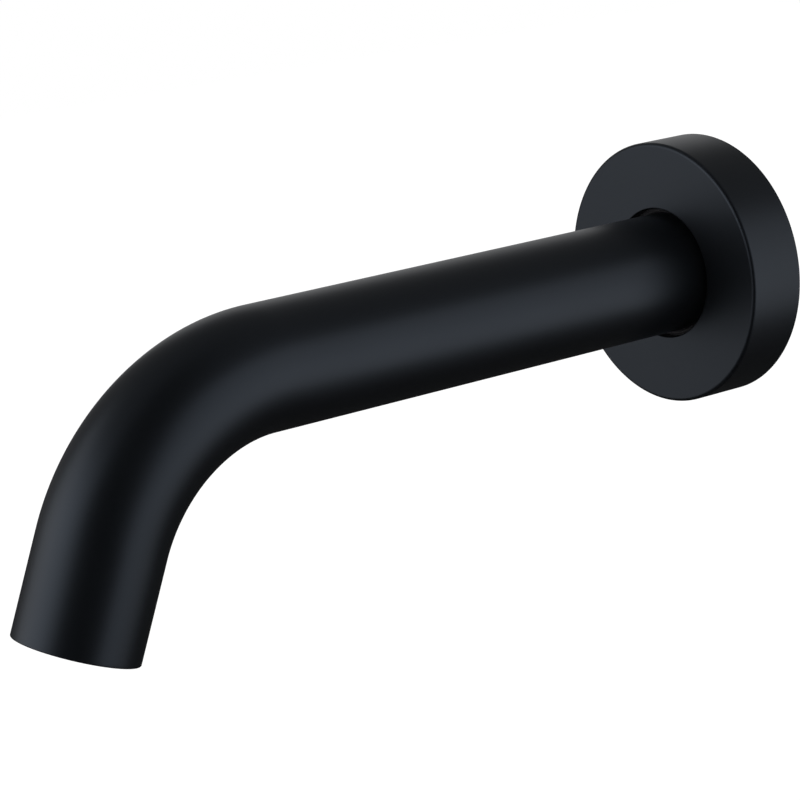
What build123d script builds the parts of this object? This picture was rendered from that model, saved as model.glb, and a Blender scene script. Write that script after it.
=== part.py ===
from build123d import *
import os
from math import cos, hypot, isclose, radians, sin

# Wall-mounted water spout in matt black: a round tube comes out of the wall through a thick round
# flange, runs level, bends down and ends in an aerator that is screwed into the outlet.
# Sizes are millimetres. The origin is where the tube's axis meets the wall. The spout points along -Y
# and +Z is up. A "depth" at the wall end is a distance from the wall, and a depth at the outlet is a
# distance from the outlet's lip into the tube.

# Spout tube
tube_diameter = 30.0
tube_wall = 1.5
tube_setback = 2.0
straight_run = 126.0
bend_radius = 48.0
bend_angle = 70.0
outlet_leg = 24.5
lip_round = 0.6
lip_bore_chamfer = 0.3
rear_chamfer = 0.5

# Wall flange, its seal on the tube and its gasket on the wall
flange_diameter = 66.0
flange_length = 16.0
flange_face_wall = 3.0
flange_rim_wall = 4.0
flange_edge_round = 1.0
flange_bore_gap = 1.35
flange_bore_chamfer = 0.4
hub_length = 9.0
hub_wall = 2.5
hollow_chamfer = 1.0
seal_width = 2.6
seal_height = 2.3
seal_chamfer = 0.5
seal_side_gap = 0.25
seal_depth = 4.0
gasket_width = 2.0
gasket_side_gap = 0.1
gasket_groove_depth = 1.5
gasket_proud = 0.3

# Inlet socket, brazed into the tube: a half-inch parallel pipe thread, drawn at its minor diameter
braze_gap = 0.05
inlet_thread_minor = 18.631
inlet_thread_major = 20.955
inlet_thread_length = 12.0
inlet_relief_gap = 0.15
inlet_throat = 15.0
inlet_throat_length = 6.0
inlet_washer_thickness = 2.0
inlet_washer_gap = 0.1

# Outlet socket, brazed into the tube: a fine metric thread of the size that its wall leaves
outlet_socket_wall = 1.5
outlet_socket_recess = 0.8
outlet_thread_pitch = 1.0
outlet_ledge_thickness = 1.6

# Aerator, from its face at the outlet up to its strainer
aerator_recess = 1.4
housing_length = 8.0
housing_upper_wall = 0.95
housing_foot = 1.0
housing_foot_ledge = 0.7
key_notch_count = 12
key_notch_width = 1.8
key_notch_height = 1.5
key_notch_depth = 1.1
insert_gap = 0.05
plate_step = 0.5
grid_rim_wall = 0.8
grid_thickness = 2.2
grid_height = 4.0
cell_width = 1.7
cell_bar = 0.35
plate_thickness = 1.4
jet_diameter = 1.1
jet_count = 12
jet_ring_radius = 7.2
deflector_radius = 4.5
deflector_height = 1.6
strainer_wall = 0.6
strainer_rim_width = 1.2
strainer_rise = 3.0
strainer_slot_length = 2.2
strainer_slot_width = 0.8
strainer_slot_gap = 0.9
strainer_slot_rings = 2
aerator_washer_thickness = 1.6
aerator_washer_gap = 0.1

# Slots in the innermost ring of the strainer; each further ring has as many more
SLOTS_PER_RING = 8

# Height of an internal and an external metric thread, as a share of its pitch, on the diameter
INTERNAL_THREAD_HEIGHT = 1.0825
EXTERNAL_THREAD_HEIGHT = 1.2269

# Sizes that follow
tube_radius = tube_diameter / 2
bore_radius = tube_radius - tube_wall
flange_front = gasket_proud + flange_length
bend_start = flange_front + straight_run

# Wall end: planes across the axis, and a turning plane whose x is the depth and whose y is the radius
tube_axis = Axis((0, 0, 0), (0, -1, 0))
wall_turning_plane = Plane((0, 0, 0), x_dir=(0, -1, 0), z_dir=(0, 0, 1))
tube_rear_plane = Plane.XZ.offset(tube_setback)

# Outlet end: the same, with depths that count from the lip into the tube
bend_turn = radians(bend_angle)
outlet_direction = Vector(0, -cos(bend_turn), -sin(bend_turn))
bend_end = Vector(
    0,
    -bend_start - bend_radius * sin(bend_turn),
    -bend_radius * (1 - cos(bend_turn)),
)
outlet_center = bend_end + outlet_direction * outlet_leg
outlet_axis = Axis(outlet_center, outlet_direction)
outlet_plane = Plane(outlet_center, x_dir=(1, 0, 0), z_dir=outlet_direction)
outlet_turning_plane = Plane(
    outlet_center,
    x_dir=-outlet_direction,
    z_dir=(0, sin(bend_turn), -cos(bend_turn)),
)


def ring(outer_radius, inner_radius):
    """Draw a ring in the sketch that is open."""
    Circle(outer_radius)
    Circle(inner_radius, mode=Mode.SUBTRACT)


def outline(*corners):
    """Draw a closed face through the corners, where they are, in the sketch that is open."""
    Polygon(*corners, align=None)


def round_edges(piece):
    """The whole circular edges of a piece that is being built."""
    return piece.edges().filter_by(GeomType.CIRCLE)


# Spout tube: straight run, bend and outlet leg in one sweep, with a rounded lip
with BuildPart() as spout_tube:
    with BuildLine(Plane.YZ) as tube_route:
        level_run = Line((-tube_setback, 0), (-bend_start, 0))
        bend = JernArc(level_run @ 1, level_run % 1, bend_radius, bend_angle)
        Line(bend @ 1, bend @ 1 + (bend % 1) * outlet_leg)
    with BuildSketch(tube_rear_plane):
        ring(tube_radius, bore_radius)
    sweep()
    lip_edges = round_edges(spout_tube).filter_by(lambda edge: edge.arc_center == outlet_center)
    lip_edges = lip_edges.sort_by(SortBy.RADIUS)
    chamfer(lip_edges[0], min(lip_bore_chamfer, tube_wall / 3))
    fillet(lip_edges[-1], min(lip_round, tube_wall / 2))
    rear_edges = round_edges(spout_tube).group_by(Axis.Y)[-1]
    chamfer(rear_edges.sort_by(SortBy.RADIUS)[-1], min(rear_chamfer, tube_wall / 2))

# Wall flange: a turned cup, open to the wall, whose hub lets the tube through and holds its seal
flange_radius = flange_diameter / 2
flange_bore_radius = tube_radius + flange_bore_gap
hollow_floor = flange_front - flange_face_wall
rim_inner_radius = flange_radius - flange_rim_wall
seal_center = flange_front - seal_depth
seal_groove_radius = tube_radius + seal_height
seal_groove_width = seal_width + 2 * seal_side_gap
hub_radius = seal_groove_radius + hub_wall
gasket_middle_radius = flange_radius - flange_rim_wall / 2
gasket_groove_width = gasket_width + 2 * gasket_side_gap

with BuildPart() as wall_flange:
    with BuildSketch(wall_turning_plane):
        outline(
            (gasket_proud, rim_inner_radius),
            (gasket_proud, flange_radius),
            (flange_front, flange_radius),
            (flange_front, flange_bore_radius),
            (flange_front - hub_length, flange_bore_radius),
            (flange_front - hub_length, hub_radius),
            (hollow_floor, hub_radius),
            (hollow_floor, rim_inner_radius),
        )
        # The seal's groove in the bore and the gasket's groove in the back of the rim
        with Locations((seal_center, flange_bore_radius)):
            Rectangle(
                seal_groove_width,
                2 * (seal_groove_radius - flange_bore_radius),
                mode=Mode.SUBTRACT,
            )
        with Locations((gasket_proud, gasket_middle_radius)):
            Rectangle(2 * gasket_groove_depth, gasket_groove_width, mode=Mode.SUBTRACT)
    revolve(axis=tube_axis)
    chamfer(
        round_edges(wall_flange).filter_by(lambda edge: isclose(edge.arc_center.Y, -hollow_floor)),
        hollow_chamfer,
    )
    front_edges = round_edges(wall_flange).group_by(Axis.Y)[0].sort_by(SortBy.RADIUS)
    fillet(front_edges[-1], flange_edge_round)
    chamfer(front_edges[0], flange_bore_chamfer)

# Lathe-cut seal in the flange's groove, which grips the tube and holds the flange on it
with BuildPart() as flange_seal:
    with BuildSketch(wall_turning_plane) as seal_section:
        with Locations((seal_center, tube_radius + seal_height / 2)):
            Rectangle(seal_width, seal_height)
        chamfer(seal_section.vertices(), seal_chamfer)
    revolve(axis=tube_axis)

# Gasket that seals the flange's rim on the wall
with BuildPart() as wall_gasket:
    with BuildSketch(Plane.XZ):
        ring(gasket_middle_radius + gasket_width / 2, gasket_middle_radius - gasket_width / 2)
    extrude(amount=gasket_proud + gasket_groove_depth)

# Inlet socket: mouth chamfer, thread, relief that holds the washer, and a narrower throat
socket_radius = bore_radius - braze_gap
inlet_minor_radius = inlet_thread_minor / 2
inlet_major_radius = inlet_thread_major / 2
inlet_relief_radius = inlet_major_radius + inlet_relief_gap
inlet_thread_start = tube_setback + inlet_major_radius - inlet_minor_radius
inlet_thread_end = inlet_thread_start + inlet_thread_length
inlet_seat = inlet_thread_end + inlet_washer_thickness
inlet_end = inlet_seat + inlet_throat_length

with BuildPart() as inlet_socket:
    with BuildSketch(wall_turning_plane):
        outline(
            (tube_setback, socket_radius),
            (tube_setback, inlet_major_radius),
            (inlet_thread_start, inlet_minor_radius),
            (inlet_thread_end, inlet_minor_radius),
            (inlet_thread_end, inlet_relief_radius),
            (inlet_seat, inlet_relief_radius),
            (inlet_seat, inlet_throat / 2),
            (inlet_end, inlet_throat / 2),
            (inlet_end, socket_radius),
        )
    revolve(axis=tube_axis)

# Washer that the supply pipe's end presses on
with BuildPart() as inlet_washer:
    with BuildSketch(Plane.XZ.offset(inlet_thread_end)):
        ring(inlet_relief_radius - inlet_washer_gap, inlet_throat / 2)
    extrude(amount=inlet_washer_thickness)

# Outlet socket: thread for the aerator and a ledge that its washer seals on
outlet_major_diameter = 2 * (bore_radius - outlet_socket_wall)
outlet_minor_radius = (outlet_major_diameter - INTERNAL_THREAD_HEIGHT * outlet_thread_pitch) / 2
housing_radius = (outlet_major_diameter - EXTERNAL_THREAD_HEIGHT * outlet_thread_pitch) / 2
housing_top = aerator_recess + housing_length
ledge_face = housing_top + aerator_washer_thickness
upper_bore_radius = housing_radius - housing_upper_wall
insert_radius = upper_bore_radius - insert_gap
strainer_rim_radius = insert_radius - strainer_rim_width
ledge_radius = (insert_radius + strainer_rim_radius) / 2

with BuildPart() as outlet_socket:
    with BuildSketch(outlet_turning_plane):
        outline(
            (outlet_socket_recess, socket_radius),
            (outlet_socket_recess, outlet_major_diameter / 2),
            (outlet_socket_recess + outlet_thread_pitch / 2, outlet_minor_radius),
            (ledge_face, outlet_minor_radius),
            (ledge_face, ledge_radius),
            (ledge_face + outlet_ledge_thickness, ledge_radius),
            (ledge_face + outlet_ledge_thickness, socket_radius),
        )
    revolve(axis=outlet_axis)

# Washer between the aerator and the ledge
with BuildPart() as aerator_washer:
    with BuildSketch(outlet_plane.offset(-ledge_face)):
        ring(housing_radius - aerator_washer_gap, ledge_radius)
    extrude(amount=aerator_washer_thickness)

# Aerator housing: a stepped sleeve, notched round its face for the key that screws it in
grid_bore_radius = upper_bore_radius - plate_step
foot_radius = grid_bore_radius - housing_foot_ledge
grid_seat = aerator_recess + housing_foot
plate_seat = grid_seat + grid_height

with BuildPart() as aerator_housing:
    with BuildSketch(outlet_turning_plane):
        outline(
            (aerator_recess, housing_radius),
            (aerator_recess, foot_radius),
            (grid_seat, foot_radius),
            (grid_seat, grid_bore_radius),
            (plate_seat, grid_bore_radius),
            (plate_seat, upper_bore_radius),
            (housing_top, upper_bore_radius),
            (housing_top, housing_radius),
        )
    revolve(axis=outlet_axis)
    with BuildSketch(outlet_plane.offset(-aerator_recess)):
        with PolarLocations(housing_radius, key_notch_count):
            Rectangle(2 * key_notch_depth, key_notch_width)
    extrude(amount=-key_notch_height, mode=Mode.SUBTRACT)

# Aerator grid: a honeycomb of whole cells inside a rim that reaches up to the jet plate
grid_radius = grid_bore_radius - insert_gap
cell_pitch = cell_width + cell_bar
cell_corner_radius = cell_width / (2 * cos(radians(30)))
cell_limit = foot_radius - cell_bar - cell_corner_radius
cell_row_height = cell_pitch * cos(radians(30))
cell_rows = int(cell_limit / cell_row_height)
cell_columns = int(cell_limit / cell_pitch) + cell_rows
cell_centers = [
    (cell_pitch * (column + row / 2), cell_row_height * row)
    for row in range(-cell_rows, cell_rows + 1)
    for column in range(-cell_columns, cell_columns + 1)
    if hypot(cell_pitch * (column + row / 2), cell_row_height * row) <= cell_limit
]

with BuildPart() as aerator_grid:
    with BuildSketch(outlet_plane.offset(-grid_seat)):
        Circle(grid_radius)
        with Locations(*cell_centers):
            RegularPolygon(
                cell_width / 2,
                side_count=6,
                major_radius=False,
                rotation=30,
                mode=Mode.SUBTRACT,
            )
    extrude(amount=-grid_thickness)
    with BuildSketch(outlet_plane.offset(-grid_seat - grid_thickness)):
        ring(grid_radius, grid_radius - grid_rim_wall)
    extrude(amount=-(grid_height - grid_thickness))

# Jet plate: a ring of jets round a cone that throws the water outwards on to the grid
plate_top = plate_seat + plate_thickness

with BuildPart() as aerator_jet_plate:
    with BuildSketch(outlet_turning_plane):
        outline(
            (plate_seat, insert_radius),
            (plate_top, insert_radius),
            (plate_top, 0),
            (plate_seat - deflector_height, 0),
            (plate_seat, deflector_radius),
        )
    revolve(axis=outlet_axis)
    with BuildSketch(outlet_plane.offset(-plate_top)):
        with PolarLocations(jet_ring_radius, jet_count):
            Circle(jet_diameter / 2)
    extrude(amount=plate_thickness, mode=Mode.SUBTRACT)

# Strainer: a cup with a slotted top, on a rim that the washer clamps on to the jet plate
strainer_top = housing_top + strainer_rise
slot_ring_pitch = strainer_slot_length + strainer_slot_gap

with BuildPart() as aerator_strainer:
    with BuildSketch(outlet_turning_plane):
        outline(
            (plate_top, insert_radius),
            (housing_top, insert_radius),
            (housing_top, strainer_rim_radius),
            (strainer_top, strainer_rim_radius),
            (strainer_top, 0),
            (strainer_top - strainer_wall, 0),
            (strainer_top - strainer_wall, strainer_rim_radius - strainer_wall),
            (plate_top, strainer_rim_radius - strainer_wall),
        )
    revolve(axis=outlet_axis)
    with BuildSketch(outlet_plane.offset(-strainer_top)):
        for slot_ring in range(1, strainer_slot_rings + 1):
            with PolarLocations(slot_ring * slot_ring_pitch, SLOTS_PER_RING * slot_ring):
                Rectangle(strainer_slot_length, strainer_slot_width)
    extrude(amount=strainer_wall, mode=Mode.SUBTRACT)

# One file for each piece
pieces = {
    "spout_tube": spout_tube,
    "wall_flange": wall_flange,
    "flange_seal": flange_seal,
    "wall_gasket": wall_gasket,
    "inlet_socket": inlet_socket,
    "inlet_washer": inlet_washer,
    "outlet_socket": outlet_socket,
    "aerator_washer": aerator_washer,
    "aerator_housing": aerator_housing,
    "aerator_grid": aerator_grid,
    "aerator_jet_plate": aerator_jet_plate,
    "aerator_strainer": aerator_strainer,
}
os.makedirs("parts", exist_ok=True)
for label, piece in pieces.items():
    piece.part.label = label
    export_step(piece.part, f"parts/{label}.step")
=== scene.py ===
"""Looks of a matt black wall spout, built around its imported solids, and the studio that shows it."""

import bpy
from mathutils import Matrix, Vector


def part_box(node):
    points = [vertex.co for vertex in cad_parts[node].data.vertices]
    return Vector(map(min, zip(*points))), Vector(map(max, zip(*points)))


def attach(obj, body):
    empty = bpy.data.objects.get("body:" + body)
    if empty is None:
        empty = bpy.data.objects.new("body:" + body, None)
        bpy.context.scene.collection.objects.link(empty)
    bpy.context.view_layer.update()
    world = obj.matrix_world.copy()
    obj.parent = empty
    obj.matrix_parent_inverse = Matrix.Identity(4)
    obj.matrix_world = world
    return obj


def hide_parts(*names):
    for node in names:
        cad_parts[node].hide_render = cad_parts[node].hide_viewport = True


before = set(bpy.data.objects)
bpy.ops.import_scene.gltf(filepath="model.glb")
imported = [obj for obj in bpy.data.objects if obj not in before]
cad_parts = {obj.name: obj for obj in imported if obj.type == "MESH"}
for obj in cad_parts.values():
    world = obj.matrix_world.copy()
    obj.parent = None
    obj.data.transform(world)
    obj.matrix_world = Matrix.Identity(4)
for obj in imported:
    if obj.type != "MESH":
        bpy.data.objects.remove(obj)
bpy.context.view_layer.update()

from math import cos, pi, radians, sin, tau

import bmesh
import bpy
from bpy.props import FloatProperty, FloatVectorProperty, IntProperty, PointerProperty
from mathutils import Matrix, Vector

bl_info = {
    "name": "Wall spout looks",
    "version": (1, 0, 0),
    "blender": (4, 5, 0),
    "location": "3D View > Sidebar > Spout",
    "description": "Builds the visible pieces, finishes and studio of a matt black wall spout",
    "category": "Object",
}

BODY = "root"
SHARP_ANGLE = radians(35)
PHOTO_WIDTH = 800
SENSOR_WIDTH = 36.0
NEAR_CLIP = 0.01
STAGE_MIDDLE = Vector((0.0, -0.1, -0.02))

# Segments of a bevel: one makes a chamfer, more make a rounding
CHAMFER = 1
BROKEN_EDGE = 2
FINE_ROUND = 4
ROUND = 6
WIDE_ROUND = 8

# Share of a radius within which two radii count as the same
SAME_RADIUS = 0.0001

# Length of the short run of faces at each end of the tube, in roundings of the lip
END_BAND = 3

# Half widths of the inlet thread's tooth at its root and its crest, as shares of the pitch
TOOTH_ROOT = 0.48
TOOTH_CREST = 0.09

# How deep the tooth is sunk into the socket, in metres, and the share of the pitch within which it merges
TOOTH_SINK = 0.00005
TOOTH_MERGE = 0.001

# Faces up and along a panel of the tent
TENT_ROWS = 16
TENT_COLUMNS = 48

# How bright the cards of the tent look
BLACK_CARD = 0.005
DARK_CARD = 0.03
GREY_CARD = 0.15
PALE_CARD = 0.66

# Panels of the tent: azimuths and elevations in degrees, and the card
TENT = (
    ("tent_camera_side", (10, 87), (-90, 90), BLACK_CARD),
    ("tent_right_foot", (87, 147), (-90, -42), BLACK_CARD),
    ("tent_right_sill", (87, 147), (-42, -25), GREY_CARD),
    ("tent_right_top", (87, 147), (38, 90), GREY_CARD),
    ("tent_wall_foot", (147, 297), (-90, -10), DARK_CARD),
    ("tent_wall", (147, 212), (-10, 90), GREY_CARD),
    ("tent_backdrop", (212, 252), (-10, 28), PALE_CARD),
    ("tent_backdrop_top", (212, 252), (28, 90), GREY_CARD),
    ("tent_left", (252, 297), (-10, 90), GREY_CARD),
    ("tent_front_foot", (297, 370), (-90, -36), DARK_CARD),
    ("tent_front_sill", (297, 370), (-36, -8), PALE_CARD),
    ("tent_front_top", (297, 370), (38, 90), GREY_CARD),
)

# Lamps in the tent's windows: width and height in metres, azimuth and elevation in degrees, and radiance
SOFTBOXES = (
    ("softbox_right", (0.6, 0.5), (124, -2), 0.215),
    ("softbox_front", (0.8, 0.7), (335, 12), 0.615),
)


def near_depth(node):
    """How far from the wall a node begins."""
    _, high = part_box(node)
    return -high.y


def far_depth(node):
    """How far from the wall a node ends."""
    low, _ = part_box(node)
    return -low.y


def width_of(node):
    """A node's width across the spout."""
    low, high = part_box(node)
    return high.x - low.x


def length(name, description, default):
    """A length property in metres."""
    return FloatProperty(name=name, description=description, default=default, unit="LENGTH", precision=5)


def tint(name, description, default):
    """A linear colour property."""
    return FloatVectorProperty(
        name=name, description=description, default=default, subtype="COLOR", size=3, min=0.0, max=1.0
    )


def angle(name, description, default):
    """An angle property, with its default in degrees."""
    return FloatProperty(name=name, description=description, default=radians(default), subtype="ANGLE")


def factor(name, description, default, high=1.0):
    """A plain number property from zero up."""
    return FloatProperty(name=name, description=description, default=default, min=0.0, max=high)


class SpoutSizes(bpy.types.PropertyGroup):
    """Sizes of the pieces that are modelled here: the solids' own, apart from finer or rounder edges."""

    tube_diameter: length("Tube diameter", "Outside of the tube", width_of("spout_tube"))
    tube_wall: length("Tube wall", "Thickness of the tube", 0.0015)
    tube_setback: length("Tube setback", "Gap between tube and wall", near_depth("spout_tube"))
    bend_radius: length("Bend radius", "To the tube's axis", 0.048)
    bend_angle: angle("Bend angle", "Turn of the bend", 70.0)
    lip_round: length("Lip rounding", "Outer edge of the outlet", 0.0003)
    lip_chamfer: length("Lip chamfer", "Inner edge of the outlet", 0.0003)
    rear_chamfer: length("Rear chamfer", "Outer edge of the tube's rear end", 0.0005)

    flange_diameter: length("Flange diameter", "Outside of the flange", width_of("wall_flange"))
    flange_back: length("Flange back", "Gap that the gasket leaves at the wall", near_depth("wall_flange"))
    flange_front: length("Flange front", "Front face, from the wall", far_depth("wall_flange"))
    flange_bore_gap: length("Flange gap", "Open ring between tube and flange", 0.00135)
    flange_edge_round: length("Flange edge", "Rounding of the front edge", 0.001)
    flange_bore_round: length("Flange bore edge", "Rounding of the bore's front edge", 0.0004)
    flange_rim_wall: length("Flange rim", "Thickness of the rim", 0.004)
    flange_face_wall: length("Flange face", "Thickness of the face", 0.003)
    hollow_round: length("Hollow rounding", "Corners at the floor of the hollow", 0.001)
    hub_length: length("Hub length", "From the front face", 0.009)
    hub_wall: length("Hub wall", "Round the seal's groove", 0.0025)
    seal_height: length("Seal height", "From the tube to the groove's floor", 0.0023)
    seal_groove_width: length("Seal groove", "Width of the groove", 0.0031)
    seal_depth: length("Seal depth", "Middle of the seal, from the front face", 0.004)
    gasket_groove_width: length("Gasket groove width", "In the back of the rim", 0.0022)
    gasket_groove_depth: length("Gasket groove depth", "In the back of the rim", 0.0015)

    inlet_minor: length("Inlet minor diameter", "Crest of the inlet thread", 0.018631)
    inlet_major: length("Inlet major diameter", "Root of the inlet thread", 0.020955)
    inlet_pitch: length("Inlet pitch", "From turn to turn", 0.001814)
    inlet_thread_length: length("Inlet thread", "Length of the thread", 0.012)
    inlet_relief_gap: length("Inlet relief", "Depth of the washer's groove past the thread", 0.00015)
    inlet_washer: length("Inlet washer", "Thickness of the washer", 0.002)
    inlet_throat: length("Inlet throat", "Diameter of the water way", 0.015)

    break_edge: length("Broken edge", "Of an edge that has no rounding or chamfer of its own", 0.0002)

    turned_steps: IntProperty(name="Turned steps", description="Faces round a turned piece", default=192)
    bend_steps: IntProperty(name="Bend steps", description="Sections along the bend", default=72)


class SpoutFinish(bpy.types.PropertyGroup):
    """Colours and gloss of the finishes."""

    coat_color: tint("Coat", "Matt black coat", (0.002, 0.0022, 0.0026))
    coat_sheen: tint("Coat sheen", "Cool tint of the coat's reflections", (0.69, 0.81, 1.0))
    coat_reflection: factor("Coat reflection", "Strength of the coat's reflections", 0.535)
    coat_roughness: factor("Coat roughness", "Gloss of the black coat", 0.4)
    brass_color: tint("Brass", "Bare brass of the inlet", (0.72, 0.52, 0.24))
    rubber_color: tint("Rubber", "Seals and washers", (0.012, 0.012, 0.013))
    housing_color: tint("Housing", "Moulded aerator housing", (0.012, 0.012, 0.013))
    grid_color: tint("Grid", "Moulded aerator grid", (0.16, 0.165, 0.17))


class SpoutStage(bpy.types.PropertyGroup):
    """Camera, floor, tent and softboxes. Azimuth 0 is in front of the wall, 90 degrees to its right."""

    camera_target: FloatVectorProperty(
        name="Camera target",
        description="Point in the middle of the picture",
        default=(-0.01947, -0.08581, -0.02313),
        subtype="XYZ",
        unit="LENGTH",
    )
    camera_azimuth: angle("Azimuth", "Camera to the right of the spout", 51.28)
    camera_elevation: angle("Elevation", "Camera above the spout", 16.38)
    camera_roll: angle("Roll", "Turn about the line of sight", -1.54)
    camera_distance: length("Distance", "From the target", 0.77)
    camera_focal_pixels: factor("Focal length", "In pixels of the picture", 3141.5, 10000.0)
    floor_drop: length("Floor", "Floor below the tube's axis", 1.3)
    floor_radius: length("Floor radius", "Size of the floor", 6.0)
    floor_color: tint("Floor colour", "Pale floor", (0.82, 0.82, 0.82))
    floor_glow: tint(
        "Floor glow", "Added where the floor is seen, so that it reads as white", (0.25, 0.25, 0.25)
    )
    tent_radius: length("Tent", "Radius of the grey tent round the spout", 1.1)


def sizes():
    """The pieces' sizes."""
    return bpy.context.scene.spout_sizes


def finish():
    """The finishes' values."""
    return bpy.context.scene.spout_finish


def studio():
    """The stage's values."""
    return bpy.context.scene.spout_stage


def outlet_direction():
    """The way the water leaves."""
    turn = sizes().bend_angle
    return Vector((0.0, -cos(turn), -sin(turn)))


def straight_runs():
    """Where the level run ends and how long the outlet leg is, so that the lip just fills the solid's box."""
    size = sizes()
    low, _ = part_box("spout_tube")
    outer = size.tube_diameter / 2
    fall, reach = sin(size.bend_angle), cos(size.bend_angle)
    lip_cut = size.lip_round * (fall + reach - 1)
    outlet_leg = (-low.z - size.bend_radius * (1 - reach) - outer * reach + lip_cut) / fall
    bend_start = -low.y - size.bend_radius * fall - outlet_leg * reach - outer * fall + lip_cut
    return bend_start, outlet_leg


def wall_axes(depth=0.0):
    """Axes of turned pieces at the wall: z is the distance from the wall."""
    axes = Matrix(((1, 0, 0), (0, 0, -1), (0, 1, 0))).to_4x4()
    return Matrix.Translation((0.0, -depth, 0.0)) @ axes


def verts_in(geometry):
    """The vertices of a list of bmesh elements."""
    return [item for item in geometry if isinstance(item, bmesh.types.BMVert)]


def faces_in(geometry):
    """The faces of a list of bmesh elements."""
    return [item for item in geometry if isinstance(item, bmesh.types.BMFace)]


def with_edges(faces):
    """Faces and their edges: given both, extrude and spin leave no wall behind where they start."""
    return faces + list(dict.fromkeys(edge for face in faces for edge in face.edges))


def extruded(bm, faces, shift):
    """Extrude faces by a vector and return the faces at the new end."""
    grown = bmesh.ops.extrude_face_region(bm, geom=with_edges(faces))["geom"]
    bmesh.ops.translate(bm, vec=shift, verts=verts_in(grown))
    return faces_in(grown)


def circle_edges(bm, center, radius):
    """Edges of a circle about the centre: both their ends are a radius away from it."""
    near = radius * SAME_RADIUS
    return [
        edge
        for edge in bm.edges
        if all(abs((vert.co - center).length - radius) < near for vert in edge.verts)
    ]


def bevelled(bm, geometry, size, segments, affect="EDGES"):
    """Bevel edges, or the corners of an outline."""
    bmesh.ops.bevel(
        bm,
        geom=geometry,
        offset=size,
        offset_type="OFFSET",
        affect=affect,
        segments=segments,
        profile=0.5,
        material=-1,
    )


def turned(corners, axes, steps):
    """Turn a closed outline of corners about the axes' z.

    A corner is its depth and radius and, where it is bevelled, the bevel's size and segments.
    """
    bm = bmesh.new()
    outline = [bm.verts.new((radius, 0.0, depth)) for depth, radius, *_ in corners]
    for start, end in zip(outline, outline[1:] + outline[:1]):
        bm.edges.new((start, end))
    for corner, (_, _, *bevel) in zip(outline, corners):
        if bevel:
            bevelled(bm, [corner], *bevel, affect="VERTICES")
    bmesh.ops.spin(
        bm,
        geom=bm.verts[:] + bm.edges[:],
        cent=(0, 0, 0),
        axis=(0, 0, 1),
        angle=tau,
        steps=steps,
        use_merge=True,
    )
    bmesh.ops.recalc_face_normals(bm, faces=bm.faces)
    bmesh.ops.transform(bm, matrix=axes, verts=bm.verts)
    return bm


def dressed(name, bm, material, slot, *nodes):
    """Make the bmesh a piece that rides on the spout, in place of its solids."""
    if not bm.faces:
        raise RuntimeError(f"{name} has no faces")
    mesh = bpy.data.meshes.new(name)
    bm.to_mesh(mesh)
    bm.free()
    mesh.shade_smooth()
    mesh.set_sharp_from_angle(angle=SHARP_ANGLE)
    mesh.materials.append(material)
    piece = bpy.data.objects.new(name, mesh)
    bpy.context.collection.objects.link(piece)
    weighting = piece.modifiers.new("even_shading", "WEIGHTED_NORMAL")
    weighting.keep_sharp = True
    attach(piece, BODY)
    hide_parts(*nodes)


def paint(node, material):
    """Give a solid that stays in view its finish."""
    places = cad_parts[node].material_slots
    if not places:
        raise RuntimeError(f"{node} has no material slot")
    for place in places:
        place.material = material


# Finishes


def socket(group, name, way, default=0.0):
    """Add a number socket to a node group."""
    made = group.interface.new_socket(name=name, in_out=way, socket_type="NodeSocketFloat")
    if way == "INPUT":
        made.default_value = default


def surface_grain():
    """Node group: fine grain of a surface and slow drifts of its gloss and shade."""
    found = bpy.data.node_groups.get("surface_grain")
    if found:
        return found
    group = bpy.data.node_groups.new("surface_grain", "ShaderNodeTree")
    socket(group, "Grain Scale", "INPUT", 2500.0)
    socket(group, "Drift Scale", "INPUT", 30.0)
    socket(group, "Roughness", "INPUT", 0.4)
    socket(group, "Roughness Spread", "INPUT", 0.05)
    socket(group, "Height", "OUTPUT")
    socket(group, "Gloss", "OUTPUT")
    socket(group, "Shade", "OUTPUT")
    nodes, links = group.nodes, group.links
    inputs = nodes.new("NodeGroupInput")
    outputs = nodes.new("NodeGroupOutput")
    place = nodes.new("ShaderNodeTexCoord")
    grain = nodes.new("ShaderNodeTexNoise")
    grain.inputs["Detail"].default_value = 2.0
    drift = nodes.new("ShaderNodeTexNoise")
    drift.inputs["Detail"].default_value = 4.0
    for noise, scale in ((grain, "Grain Scale"), (drift, "Drift Scale")):
        links.new(place.outputs["Object"], noise.inputs["Vector"])
        links.new(inputs.outputs[scale], noise.inputs["Scale"])
    centred = nodes.new("ShaderNodeMath")
    centred.operation = "SUBTRACT"
    centred.inputs[1].default_value = 0.5
    links.new(drift.outputs["Fac"], centred.inputs[0])
    gloss = nodes.new("ShaderNodeMath")
    gloss.operation = "MULTIPLY_ADD"
    links.new(centred.outputs[0], gloss.inputs[0])
    links.new(inputs.outputs["Roughness Spread"], gloss.inputs[1])
    links.new(inputs.outputs["Roughness"], gloss.inputs[2])
    links.new(grain.outputs["Fac"], outputs.inputs["Height"])
    links.new(gloss.outputs[0], outputs.inputs["Gloss"])
    links.new(drift.outputs["Fac"], outputs.inputs["Shade"])
    return group


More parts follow.
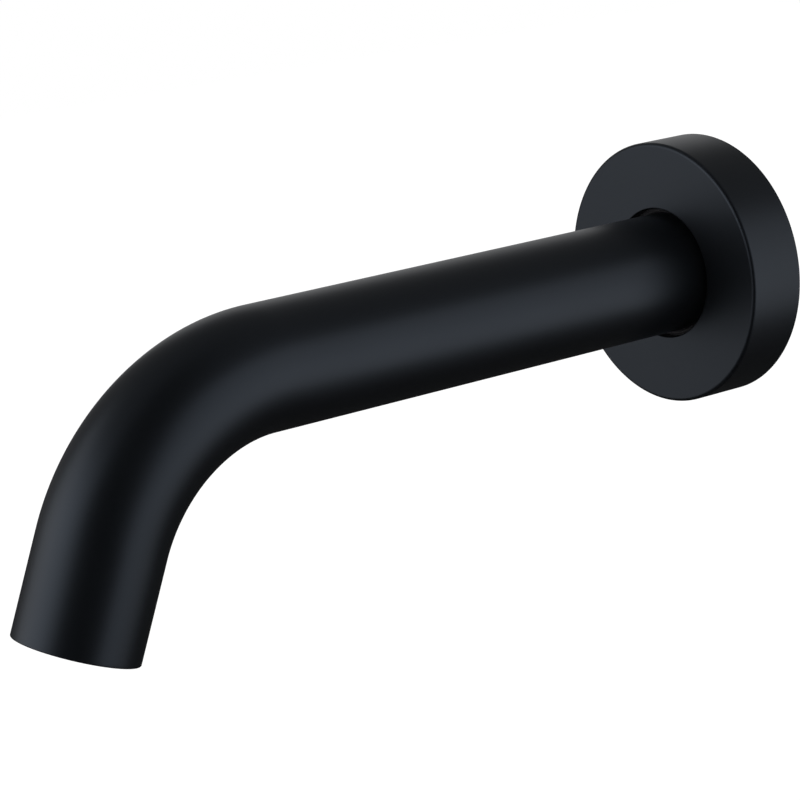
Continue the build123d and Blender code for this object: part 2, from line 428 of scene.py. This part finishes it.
def grained(name, color, lighter, roughness, roughness_spread, grain_scale, drift_scale, grain_depth):
    """A finely grained material whose colour drifts between two tones, its shader and its bump."""
    material = bpy.data.materials.new(name)
    material.use_nodes = True
    nodes, links = material.node_tree.nodes, material.node_tree.links
    shader = nodes["Principled BSDF"]
    grain = nodes.new("ShaderNodeGroup")
    grain.node_tree = surface_grain()
    grain.inputs["Grain Scale"].default_value = grain_scale
    grain.inputs["Drift Scale"].default_value = drift_scale
    grain.inputs["Roughness"].default_value = roughness
    grain.inputs["Roughness Spread"].default_value = roughness_spread
    tones = nodes.new("ShaderNodeMix")
    tones.data_type = "RGBA"
    tones.inputs["A"].default_value = (*color, 1.0)
    tones.inputs["B"].default_value = (*(channel * lighter for channel in color), 1.0)
    bump = nodes.new("ShaderNodeBump")
    bump.inputs["Distance"].default_value = grain_depth
    links.new(grain.outputs["Shade"], tones.inputs["Factor"])
    links.new(tones.outputs["Result"], shader.inputs["Base Color"])
    links.new(grain.outputs["Gloss"], shader.inputs["Roughness"])
    links.new(grain.outputs["Height"], bump.inputs["Height"])
    links.new(bump.outputs["Normal"], shader.inputs["Normal"])
    return material, shader, bump


def add_lathe_rings(material, bump, scale):
    """Put the fine rings of a lathe, about the tube's axis, in place of a material's grain."""
    nodes, links = material.node_tree.nodes, material.node_tree.links
    place = nodes.new("ShaderNodeTexCoord")
    across = nodes.new("ShaderNodeVectorMath")
    across.operation = "MULTIPLY"
    across.inputs[1].default_value = (1.0, 0.0, 1.0)
    radius = nodes.new("ShaderNodeVectorMath")
    radius.operation = "LENGTH"
    parts = nodes.new("ShaderNodeSeparateXYZ")
    feed = nodes.new("ShaderNodeMath")
    feed.operation = "SUBTRACT"
    rings = nodes.new("ShaderNodeTexNoise")
    rings.noise_dimensions = "1D"
    rings.inputs["Scale"].default_value = scale
    links.new(place.outputs["Object"], across.inputs[0])
    links.new(across.outputs["Vector"], radius.inputs[0])
    links.new(place.outputs["Object"], parts.inputs["Vector"])
    links.new(radius.outputs["Value"], feed.inputs[0])
    links.new(parts.outputs["Y"], feed.inputs[1])
    links.new(feed.outputs[0], rings.inputs["W"])
    links.new(rings.outputs["Fac"], bump.inputs["Height"])


def finish_material(name):
    """Find a finish, or make it the first time it is asked for."""
    return bpy.data.materials.get(name) or FINISHES[name]()


def matt_black_coat():
    """Electro-dipped matt black coat: nearly no grain, satin gloss."""
    material, shader, _ = grained(
        "matt_black_coat",
        finish().coat_color,
        lighter=1.25,
        roughness=finish().coat_roughness,
        roughness_spread=0.04,
        grain_scale=2600.0,
        drift_scale=45.0,
        grain_depth=0.000002,
    )
    shader.inputs["Specular Tint"].default_value = (*finish().coat_sheen, 1.0)
    shader.inputs["Specular IOR Level"].default_value = finish().coat_reflection
    return material


def turned_brass():
    """Bare brass of the inlet, with the rings of the lathe on it."""
    material, shader, bump = grained(
        "turned_brass",
        finish().brass_color,
        lighter=1.2,
        roughness=0.3,
        roughness_spread=0.15,
        grain_scale=900.0,
        drift_scale=120.0,
        grain_depth=0.000006,
    )
    shader.inputs["Metallic"].default_value = 1.0
    add_lathe_rings(material, bump, scale=5000.0)
    return material


def seal_rubber():
    """Dull black rubber of the seals and washers."""
    material, _, _ = grained(
        "seal_rubber",
        finish().rubber_color,
        lighter=1.5,
        roughness=0.7,
        roughness_spread=0.1,
        grain_scale=1800.0,
        drift_scale=90.0,
        grain_depth=0.000006,
    )
    return material


def moulded(name, color, lighter, roughness):
    """Moulded plastic with a faint spark-eroded grain."""
    material, _, _ = grained(
        name,
        color,
        lighter=lighter,
        roughness=roughness,
        roughness_spread=0.08,
        grain_scale=2200.0,
        drift_scale=80.0,
        grain_depth=0.000003,
    )
    return material


def housing_plastic():
    """Black plastic of the aerator's housing."""
    return moulded("housing_plastic", finish().housing_color, lighter=1.3, roughness=0.45)


def grid_plastic():
    """Grey plastic of the aerator's inner pieces."""
    return moulded("grid_plastic", finish().grid_color, lighter=1.15, roughness=0.42)


FINISHES = {
    "matt_black_coat": matt_black_coat,
    "turned_brass": turned_brass,
    "seal_rubber": seal_rubber,
    "housing_plastic": housing_plastic,
    "grid_plastic": grid_plastic,
}


class SPOUT_OT_tube(bpy.types.Operator):
    """Build the bent tube with its rounded lip"""

    bl_idname = "spout.tube"
    bl_label = "Spout tube"

    def execute(self, context):
        size = sizes()
        outer = size.tube_diameter / 2
        inner = outer - size.tube_wall
        end_band = END_BAND * size.lip_round
        bend_start, outlet_leg = straight_runs()
        bend_center = Vector((0.0, -bend_start, -size.bend_radius))
        bend_end = bend_center + Vector((0.0, -sin(size.bend_angle), cos(size.bend_angle))) * size.bend_radius
        outlet_center = bend_end + outlet_direction() * outlet_leg
        rear_center = Vector((0.0, -size.tube_setback, 0.0))
        bm = bmesh.new()
        for radius in (outer, inner):
            bmesh.ops.create_circle(
                bm,
                cap_ends=False,
                segments=size.turned_steps,
                radius=radius,
                matrix=wall_axes(size.tube_setback),
            )
        rear = bmesh.ops.bridge_loops(bm, edges=bm.edges[:])["faces"]
        section = extruded(bm, rear, Vector((0.0, -end_band, 0.0)))
        section = extruded(bm, section, Vector((0.0, size.tube_setback + end_band - bend_start, 0.0)))
        bend = bmesh.ops.spin(
            bm,
            geom=with_edges(section),
            cent=bend_center,
            axis=(1, 0, 0),
            angle=size.bend_angle,
            steps=size.bend_steps,
        )
        section = faces_in(bend["geom_last"])
        section = extruded(bm, section, outlet_direction() * (outlet_leg - end_band))
        extruded(bm, section, outlet_direction() * end_band)
        bevelled(bm, circle_edges(bm, outlet_center, inner), size.lip_chamfer, CHAMFER)
        bevelled(bm, circle_edges(bm, outlet_center, outer), size.lip_round, ROUND)
        bevelled(bm, circle_edges(bm, rear_center, outer), size.rear_chamfer, CHAMFER)
        bmesh.ops.recalc_face_normals(bm, faces=bm.faces)
        dressed("tube", bm, finish_material("matt_black_coat"), "matt_black", "spout_tube")
        return {"FINISHED"}


class SPOUT_OT_flange(bpy.types.Operator):
    """Build the wall flange with its rounded front edge, hollow back, hub and grooves"""

    bl_idname = "spout.flange"
    bl_label = "Wall flange"

    def execute(self, context):
        size = sizes()
        outer = size.flange_diameter / 2
        rim = outer - size.flange_rim_wall
        tube = size.tube_diameter / 2
        bore = tube + size.flange_bore_gap
        groove = tube + size.seal_height
        hub = groove + size.hub_wall
        back, front = size.flange_back, size.flange_front
        floor = front - size.flange_face_wall
        hub_end = front - size.hub_length
        seal_near = front - size.seal_depth - size.seal_groove_width / 2
        seal_far = seal_near + size.seal_groove_width
        gasket_floor = back + size.gasket_groove_depth
        gasket_inner = outer - size.flange_rim_wall / 2 - size.gasket_groove_width / 2
        gasket_outer = gasket_inner + size.gasket_groove_width
        break_edge = size.break_edge
        corners = (
            (back, rim, break_edge, BROKEN_EDGE),
            (back, gasket_inner),
            (gasket_floor, gasket_inner),
            (gasket_floor, gasket_outer),
            (back, gasket_outer),
            (back, outer, break_edge, BROKEN_EDGE),
            (front, outer, size.flange_edge_round, WIDE_ROUND),
            (front, bore, size.flange_bore_round, FINE_ROUND),
            (seal_far, bore),
            (seal_far, groove),
            (seal_near, groove),
            (seal_near, bore),
            (hub_end, bore, break_edge, BROKEN_EDGE),
            (hub_end, hub, break_edge, BROKEN_EDGE),
            (floor, hub, size.hollow_round, ROUND),
            (floor, rim, size.hollow_round, ROUND),
        )
        bm = turned(corners, wall_axes(), size.turned_steps)
        dressed("flange", bm, finish_material("matt_black_coat"), "matt_black", "wall_flange")
        return {"FINISHED"}


class SPOUT_OT_inlet(bpy.types.Operator):
    """Build the brass inlet socket with its pipe thread"""

    bl_idname = "spout.inlet"
    bl_label = "Inlet socket"

    def execute(self, context):
        size = sizes()
        outer = width_of("inlet_socket") / 2
        mouth, end = near_depth("inlet_socket"), far_depth("inlet_socket")
        minor, major = size.inlet_minor / 2, size.inlet_major / 2
        relief = major + size.inlet_relief_gap
        thread_end = mouth + major - minor + size.inlet_thread_length
        seat = thread_end + size.inlet_washer
        throat = size.inlet_throat / 2
        break_edge = size.break_edge
        corners = (
            (mouth, outer, break_edge, CHAMFER),
            (mouth, major),
            (thread_end, major),
            (thread_end, relief),
            (seat, relief),
            (seat, throat, break_edge, BROKEN_EDGE),
            (end, throat, break_edge, BROKEN_EDGE),
            (end, outer, break_edge, CHAMFER),
        )
        bm = turned(corners, wall_axes(), size.turned_steps)
        self.add_thread(bm, mouth, thread_end, minor, major)
        dressed("inlet_socket_threaded", bm, finish_material("turned_brass"), "brass", "inlet_socket")
        return {"FINISHED"}

    def add_thread(self, bm, mouth, end, minor, major):
        """Wind one tooth of the thread along the bore, cut back by a chamfer at the mouth."""
        size = sizes()
        steps_per_turn = size.turned_steps // 2
        root, crest = TOOTH_ROOT * size.inlet_pitch, TOOTH_CREST * size.inlet_pitch
        base = major + TOOTH_SINK
        first_middle, last_middle = mouth - crest, end - root
        turns = (last_middle - first_middle) / size.inlet_pitch
        socket_verts = set(bm.verts)
        tooth = [
            bm.verts.new(wall_axes() @ Vector((radius, 0.0, first_middle + offset)))
            for radius, offset in ((base, -root), (minor, -crest), (minor, crest), (base, root))
        ]
        section = bm.faces.new(tooth)
        bmesh.ops.spin(
            bm,
            geom=[section],
            cent=(0, 0, 0),
            axis=(0, -1, 0),
            dvec=(0.0, -size.inlet_pitch / steps_per_turn, 0.0),
            angle=tau * turns,
            steps=int(steps_per_turn * turns),
        )
        thread = [vert for vert in bm.verts if vert not in socket_verts]
        for vert in thread:
            depth = max(-vert.co.y, mouth)
            radius = Vector((vert.co.x, vert.co.z)).length
            spread = max(1.0, (base + mouth - depth) / radius)
            vert.co = (vert.co.x * spread, -depth, vert.co.z * spread)
        bmesh.ops.remove_doubles(bm, verts=thread, dist=size.inlet_pitch * TOOTH_MERGE)
        thread_faces = {face for vert in bm.verts if vert not in socket_verts for face in vert.link_faces}
        bmesh.ops.recalc_face_normals(bm, faces=list(thread_faces))


class SPOUT_OT_seals(bpy.types.Operator):
    """Finish the rubber seal, gasket and washers"""

    bl_idname = "spout.seals"
    bl_label = "Seals and washers"

    def execute(self, context):
        for node in ("flange_seal", "wall_gasket", "inlet_washer", "aerator_washer"):
            paint(node, finish_material("seal_rubber"))
        return {"FINISHED"}


class SPOUT_OT_aerator(bpy.types.Operator):
    """Finish the outlet socket and the aerator in it"""

    bl_idname = "spout.aerator"
    bl_label = "Aerator"

    def execute(self, context):
        paint("outlet_socket", finish_material("matt_black_coat"))
        paint("aerator_housing", finish_material("housing_plastic"))
        for node in ("aerator_grid", "aerator_jet_plate", "aerator_strainer"):
            paint(node, finish_material("grid_plastic"))
        return {"FINISHED"}


# Stage


def seen_directly(nodes, links):
    """A value that is 1 for what the camera sees, directly, mirrored or through glass."""
    path = nodes.new("ShaderNodeLightPath")
    seen = path.outputs["Is Camera Ray"]
    for name in ("Is Glossy Ray", "Is Transmission Ray"):
        either = nodes.new("ShaderNodeMath")
        either.operation = "MAXIMUM"
        links.new(seen, either.inputs[0])
        links.new(path.outputs[name], either.inputs[1])
        seen = either.outputs[0]
    return seen


def white_room():
    """World: even white on every side."""
    world = bpy.data.worlds.new("white_room")
    world.use_nodes = True
    world.node_tree.nodes["Background"].inputs["Color"].default_value = (1.0, 1.0, 1.0, 1.0)
    bpy.context.scene.world = world


def floor_paper():
    """Pale floor that reads as white where it is lit and keeps the spout's shadow."""
    material = bpy.data.materials.new("floor_paper")
    material.use_nodes = True
    nodes, links = material.node_tree.nodes, material.node_tree.links
    nodes.remove(nodes["Principled BSDF"])
    paper = nodes.new("ShaderNodeBsdfDiffuse")
    paper.inputs["Color"].default_value = (*studio().floor_color, 1.0)
    glow = nodes.new("ShaderNodeEmission")
    links.new(seen_directly(nodes, links), glow.inputs["Strength"])
    glow.inputs["Color"].default_value = (*studio().floor_glow, 1.0)
    both = nodes.new("ShaderNodeAddShader")
    links.new(paper.outputs["BSDF"], both.inputs[0])
    links.new(glow.outputs["Emission"], both.inputs[1])
    from_below = nodes.new("ShaderNodeNewGeometry")
    clear = nodes.new("ShaderNodeBsdfTransparent")
    one_sided = nodes.new("ShaderNodeMixShader")
    links.new(from_below.outputs["Backfacing"], one_sided.inputs["Fac"])
    links.new(both.outputs["Shader"], one_sided.inputs[1])
    links.new(clear.outputs["BSDF"], one_sided.inputs[2])
    links.new(one_sided.outputs["Shader"], nodes["Material Output"].inputs["Surface"])
    return material


def grey_card(level):
    """Evenly lit grey card, as bright as its level."""
    material = bpy.data.materials.new("grey_card")
    material.use_nodes = True
    nodes, links = material.node_tree.nodes, material.node_tree.links
    nodes.remove(nodes["Principled BSDF"])
    glow = nodes.new("ShaderNodeEmission")
    glow.inputs["Color"].default_value = (level, level, level, 1.0)
    links.new(glow.outputs["Emission"], nodes["Material Output"].inputs["Surface"])
    return material


def direction(azimuth, elevation):
    """The direction that an azimuth and an elevation point to."""
    level = cos(elevation)
    return Vector((level * sin(azimuth), -level * cos(azimuth), sin(elevation)))


def aimed(place, target):
    """A matrix at a place whose -z looks at the target."""
    look = (target - place).to_track_quat("-Z", "Y")
    return Matrix.Translation(place) @ look.to_matrix().to_4x4()


def staged(name, bm, material):
    """Make the bmesh a part of the stage."""
    mesh = bpy.data.meshes.new(name)
    bm.to_mesh(mesh)
    bm.free()
    mesh.materials.append(material)
    made = bpy.data.objects.new(name, mesh)
    bpy.context.collection.objects.link(made)
    return made


def tent_panel(name, azimuths, elevations, level):
    """A curved grey panel of the tent, which only keeps the white room out of the reflections."""
    radius = studio().tent_radius
    first, last = (radians(edge) for edge in azimuths)
    foot, top = (radians(edge) for edge in elevations)
    bm = bmesh.new()
    corner = bm.verts.new((0.0, -radius * cos(foot), radius * sin(foot)))
    bmesh.ops.spin(bm, geom=[corner], cent=(0, 0, 0), axis=(-1, 0, 0), angle=top - foot, steps=TENT_ROWS)
    bmesh.ops.rotate(bm, cent=(0, 0, 0), matrix=Matrix.Rotation(first, 3, "Z"), verts=bm.verts)
    bmesh.ops.spin(
        bm,
        geom=bm.verts[:] + bm.edges[:],
        cent=(0, 0, 0),
        axis=(0, 0, 1),
        angle=last - first,
        steps=TENT_COLUMNS,
    )
    bmesh.ops.translate(bm, vec=STAGE_MIDDLE, verts=bm.verts)
    made = staged(name, bm, grey_card(level))
    made.visible_camera = False
    made.visible_diffuse = False
    made.visible_transmission = False
    made.visible_shadow = False


def softbox(name, extent, bearing, radiance):
    """A rectangular lamp in a window of the tent, which adds its radiance to the white room's."""
    width, height = extent
    azimuth, elevation = (radians(turn) for turn in bearing)
    lamp = bpy.data.lights.new(name, "AREA")
    lamp.shape = "RECTANGLE"
    lamp.size = width
    lamp.size_y = height
    lamp.energy = radiance * pi * width * height
    made = bpy.data.objects.new(name, lamp)
    place = STAGE_MIDDLE + direction(azimuth, elevation) * studio().tent_radius
    made.matrix_world = aimed(place, STAGE_MIDDLE)
    bpy.context.collection.objects.link(made)


class SPOUT_OT_stage(bpy.types.Operator):
    """Set up the camera, floor, tent and softboxes"""

    bl_idname = "spout.stage"
    bl_label = "Studio"

    def execute(self, context):
        self.add_camera(context)
        self.add_floor()
        self.add_light()
        white_room()
        context.scene.view_settings.view_transform = "Standard"
        return {"FINISHED"}

    def add_camera(self, context):
        """Camera at the picture's viewing angle."""
        stage = studio()
        turn, rise, roll = stage.camera_azimuth, stage.camera_elevation, stage.camera_roll
        back = direction(turn, rise)
        level_right = Vector((cos(turn), sin(turn), 0.0))
        level_up = back.cross(level_right)
        right = cos(roll) * level_right + sin(roll) * level_up
        up = cos(roll) * level_up - sin(roll) * level_right
        camera = bpy.data.cameras.new("camera")
        camera.sensor_width = SENSOR_WIDTH
        camera.lens = stage.camera_focal_pixels * SENSOR_WIDTH / PHOTO_WIDTH
        camera.clip_start = NEAR_CLIP
        made = bpy.data.objects.new("camera", camera)
        turned_to = Matrix((right, up, back)).transposed().to_4x4()
        place = Vector(stage.camera_target) + back * stage.camera_distance
        made.matrix_world = Matrix.Translation(place) @ turned_to
        bpy.context.collection.objects.link(made)
        context.scene.camera = made

    def add_floor(self):
        """One wide pale floor below the spout."""
        stage = studio()
        bm = bmesh.new()
        bmesh.ops.create_grid(bm, x_segments=1, y_segments=1, size=stage.floor_radius)
        bmesh.ops.translate(bm, vec=(0.0, 0.0, -stage.floor_drop), verts=bm.verts)
        staged("floor", bm, floor_paper())

    def add_light(self):
        """A grey tent with two windows on the white room, and a softbox in each."""
        for name, azimuths, elevations, level in TENT:
            tent_panel(name, azimuths, elevations, level)
        for name, extent, bearing, radiance in SOFTBOXES:
            softbox(name, extent, bearing, radiance)


class SPOUT_PT_panel(bpy.types.Panel):
    """Sizes, finishes and build steps of the spout"""

    bl_idname = "SPOUT_PT_panel"
    bl_label = "Wall spout"
    bl_space_type = "VIEW_3D"
    bl_region_type = "UI"
    bl_category = "Spout"

    def draw(self, context):
        column = self.layout.column()
        for operator in OPERATORS:
            column.operator(operator.bl_idname)
        for group in (sizes(), finish(), studio()):
            box = self.layout.box()
            for name in group.__annotations__:
                box.prop(group, name)


GROUPS = (SpoutSizes, SpoutFinish, SpoutStage)
OPERATORS = (
    SPOUT_OT_tube,
    SPOUT_OT_flange,
    SPOUT_OT_inlet,
    SPOUT_OT_seals,
    SPOUT_OT_aerator,
    SPOUT_OT_stage,
)
CLASSES = (*GROUPS, *OPERATORS, SPOUT_PT_panel)


def register():
    """Register the classes and hang their values on the scene."""
    for item in CLASSES:
        bpy.utils.register_class(item)
    bpy.types.Scene.spout_sizes = PointerProperty(type=SpoutSizes)
    bpy.types.Scene.spout_finish = PointerProperty(type=SpoutFinish)
    bpy.types.Scene.spout_stage = PointerProperty(type=SpoutStage)


def unregister():
    """Take the values and the classes away again."""
    del bpy.types.Scene.spout_stage
    del bpy.types.Scene.spout_finish
    del bpy.types.Scene.spout_sizes
    for item in reversed(CLASSES):
        bpy.utils.unregister_class(item)


def main():
    """Register the values, then build every piece and the stage."""
    register()
    bpy.ops.spout.tube()
    bpy.ops.spout.flange()
    bpy.ops.spout.inlet()
    bpy.ops.spout.seals()
    bpy.ops.spout.aerator()
    bpy.ops.spout.stage()


if __name__ == "__main__":
    main()
